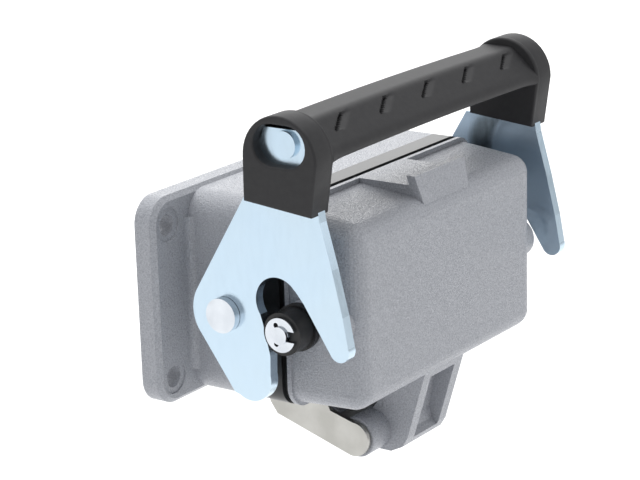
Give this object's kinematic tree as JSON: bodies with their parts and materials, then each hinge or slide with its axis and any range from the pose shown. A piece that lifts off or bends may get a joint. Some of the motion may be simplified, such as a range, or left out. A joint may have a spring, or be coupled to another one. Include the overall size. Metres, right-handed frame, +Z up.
{
  "type": "heavy duty rectangular connector",
  "caption": "Panel-mount rectangular connector housing of cast metal with a rubber seal, a hinged sprung cover and a cross lever whose slotted plates lock on rollers",
  "frame": {"origin": "middle of the flange's mounting face, which is the centre of the four fixing holes", "axes": "+X along the lever's handle and the flange's length, +Y back into the panel, so -Y points out to the cover, +Z up with the hinge at the bottom"},
  "size_m": [0.0922, 0.0482, 0.0799],
  "materials": {
    "cast_paint": "fine-textured light grey powder paint on die-cast aluminium",
    "seal_rubber": "smooth black rubber",
    "bright_steel": "bright plated steel",
    "zinc_plate": "blue-white zinc plated sheet steel",
    "handle_plastic": "matte black moulded plastic",
    "roller_plastic": "smooth black plastic",
    "hinge_steel": "plain stainless steel sheet",
    "spring_steel": "bright spring wire",
    "sleeve_plastic": "grey plastic"
  },
  "bodies": {
    "housing_body": {"housing": "cast_paint", "flange_gasket": "seal_rubber", "front_seal": "seal_rubber", "pivot_rivet_left": "bright_steel", "pivot_rivet_right": "bright_steel", "pivot_washer_left": "bright_steel", "pivot_washer_right": "bright_steel", "hinge_arm": "hinge_steel", "arm_rivets": "hinge_steel", "hinge_pin": "hinge_steel", "hinge_spring": "spring_steel", "spring_sleeve": "sleeve_plastic", "spacer_sleeve": "sleeve_plastic"},
    "lever_body": {"handle_grip": "handle_plastic", "lever_plate_left": "zinc_plate", "lever_plate_right": "zinc_plate"},
    "cover_body": {"cover": "cast_paint", "peg_pin_left": "bright_steel", "peg_pin_right": "bright_steel", "peg_clip_left": "bright_steel", "peg_clip_right": "bright_steel"},
    "roller_left_body": {"roller_left": "roller_plastic"},
    "roller_right_body": {"roller_right": "roller_plastic"}
  },
  "joints": [
    {"name": "lever_swing", "type": "hinge", "parent": "housing_body", "child": "lever_body", "pos_m": [0, -0.019, 0], "axis": [1, 0, 0], "range_deg": [-40, 0]},
    {"name": "cover_hinge", "type": "hinge", "parent": "housing_body", "child": "cover_body", "pos_m": [0, -0.0302, -0.0333], "axis": [1, 0, 0], "range_deg": [0, 64], "deforming": ["hinge_spring"]},
    {"name": "roller_left_spin", "type": "hinge", "parent": "cover_body", "child": "roller_left_body", "pos_m": [-0.04, -0.0331, -0.00175], "axis": [1, 0, 0], "continuous": true},
    {"name": "roller_right_spin", "type": "hinge", "parent": "cover_body", "child": "roller_right_body", "pos_m": [0.04, -0.0331, -0.00175], "axis": [1, 0, 0], "continuous": true}
  ],
  "couplings": [
    {"joint": "cover_hinge", "follows": "lever_swing", "ratio": -1.6}
  ]
}
